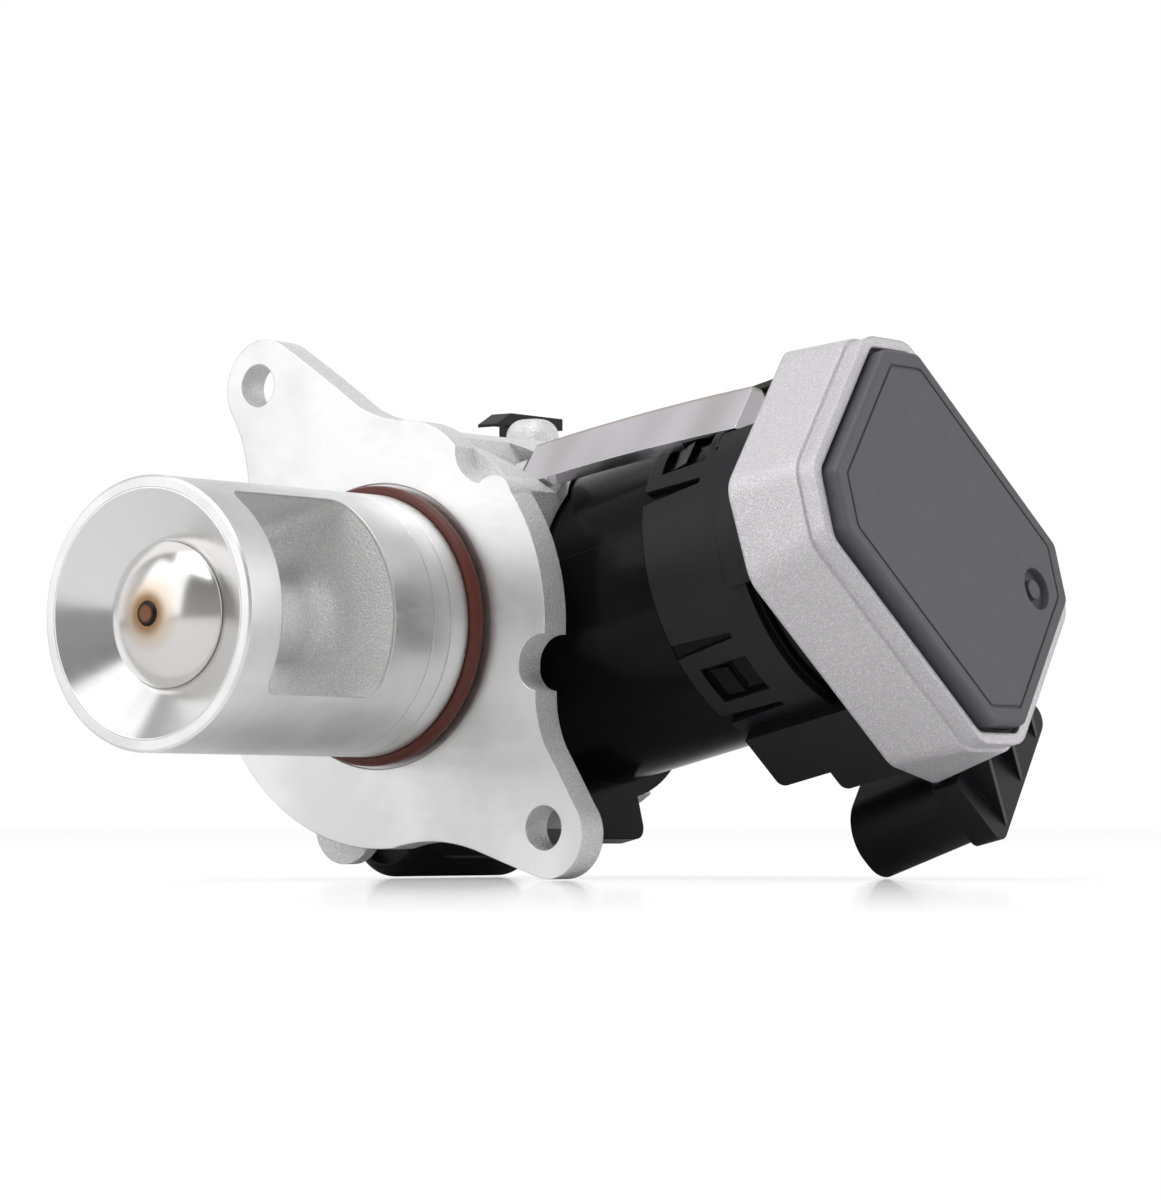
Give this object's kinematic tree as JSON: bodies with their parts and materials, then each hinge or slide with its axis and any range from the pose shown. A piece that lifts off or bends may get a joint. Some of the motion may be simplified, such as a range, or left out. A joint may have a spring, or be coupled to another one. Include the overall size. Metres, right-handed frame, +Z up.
{
  "type": "exhaust gas recirculation valve",
  "caption": "Flanged exhaust gas recirculation valve: outward-opening poppet in a spigot nose, driven through a crank and planetary gear by a strapped-on black motor with a square head",
  "frame": {"origin": "on the valve axis, at the flange's sealing face", "axes": "the nose points along -X, +Z is up as the part lies on a floor, the motor stands out toward -Y and 13.5 degrees up"},
  "size_m": [0.1544, 0.1538, 0.1048],
  "materials": {
    "cast_aluminium": "sand-cast aluminium, machined on the nose, the flange face and the bores",
    "seat_steel": "turned and polished seat ring",
    "poppet_steel": "polished heat-resistant steel",
    "stem_steel": "ground steel, the riveted end tinted by heat",
    "bush_bronze": "turned bronze",
    "bearing_steel": "ground steel",
    "gear_steel": "hobbed steel",
    "gear_polymer": "moulded polymer",
    "lamination_steel": "stacked electrical sheet",
    "magnet_grey": "sintered magnet",
    "copper_winding": "enamelled copper wire",
    "plate_aluminium": "turned plate",
    "gloss_black": "glossy black moulding",
    "satin_black": "satin black moulding",
    "pin_brass": "plated contact",
    "frame_aluminium": "blasted die casting",
    "cover_charcoal": "matte charcoal moulding",
    "strap_steel": "bright spring steel",
    "spring_steel": "drawn spring wire",
    "seal_rubber": "moulded rubber",
    "o_ring_rubber": "brown fluorinated rubber",
    "board_green": "solder resist",
    "board_parts_black": "moulded packages"
  },
  "bodies": {
    "housing": {"valve_housing": "cast_aluminium", "seat_ring": "seat_steel", "stem_bush": "bush_bronze", "stem_seal": "seal_rubber", "flange_o_ring": "o_ring_rubber", "crank_bearing": "bearing_steel", "ring_gear": "gear_polymer", "motor_barrel": "gloss_black", "drive_end_plate": "plate_aluminium", "drive_end_bearing": "bearing_steel", "head_end_plate": "plate_aluminium", "head_end_bearing": "bearing_steel", "stator_core": "lamination_steel", "stator_coils": "copper_winding", "connector_base": "satin_black", "connector_pins": "pin_brass", "head_frame": "frame_aluminium", "head_cover": "cover_charcoal", "cover_seal": "seal_rubber", "circuit_board": "board_green", "board_parts": "board_parts_black", "angle_sensor": "board_parts_black", "upper_strap": "strap_steel", "rear_strap": "strap_steel", "end_cap": "satin_black", "cap_seal": "seal_rubber", "return_spring": "spring_steel"},
    "valve": {"poppet_head": "poppet_steel", "valve_stem": "stem_steel", "spring_retainer": "bearing_steel", "stem_yoke": "bearing_steel", "yoke_pin": "bearing_steel"},
    "crank": {"crank_carrier": "bearing_steel", "planet_pins": "bearing_steel", "crank_roller": "bearing_steel"},
    "planet_1": {"planet_gear_1": "gear_steel"},
    "planet_2": {"planet_gear_2": "gear_steel"},
    "planet_3": {"planet_gear_3": "gear_steel"},
    "rotor": {"rotor_shaft": "stem_steel", "sun_gear": "gear_steel", "rotor_core": "lamination_steel", "rotor_magnet": "magnet_grey", "sensor_magnet": "magnet_grey"}
  },
  "joints": [
    {"name": "rotor_spin", "type": "hinge", "parent": "housing", "child": "rotor", "pos_m": [0.042, -0.04862, 0.00659], "axis": [0, -0.9724, 0.2334], "range_deg": [0, 300]},
    {"name": "crank_turn", "type": "hinge", "parent": "housing", "child": "crank", "pos_m": [0.042, -0.01945, -0.00041], "axis": [0, -0.9724, 0.2334], "range_deg": [0, 60]},
    {"name": "valve_slide", "type": "slide", "parent": "housing", "child": "valve", "axis": [-1, 0, 0], "range_m": [0, 0.0055], "stiffness_N_per_m": 2000, "springref_m": -0.012, "deforming": ["return_spring"]},
    {"name": "planet_1_spin", "type": "hinge", "parent": "crank", "child": "planet_1", "pos_m": [0.0555, -0.02693, 0.00139], "axis": [0, -0.9724, 0.2334], "range_deg": [-160, 0]},
    {"name": "planet_2_spin", "type": "hinge", "parent": "crank", "child": "planet_2", "pos_m": [0.03525, -0.02421, 0.01275], "axis": [0, -0.9724, 0.2334], "range_deg": [-160, 0]},
    {"name": "planet_3_spin", "type": "hinge", "parent": "crank", "child": "planet_3", "pos_m": [0.03525, -0.02966, -0.00998], "axis": [0, -0.9724, 0.2334], "range_deg": [-160, 0]}
  ],
  "couplings": [
    {"joint": "rotor_spin", "follows": "valve_slide", "rad_per_m": 952},
    {"joint": "crank_turn", "follows": "valve_slide", "rad_per_m": 190.4},
    {"joint": "planet_1_spin", "follows": "valve_slide", "rad_per_m": -507.73},
    {"joint": "planet_2_spin", "follows": "valve_slide", "rad_per_m": -507.73},
    {"joint": "planet_3_spin", "follows": "valve_slide", "rad_per_m": -507.73}
  ]
}
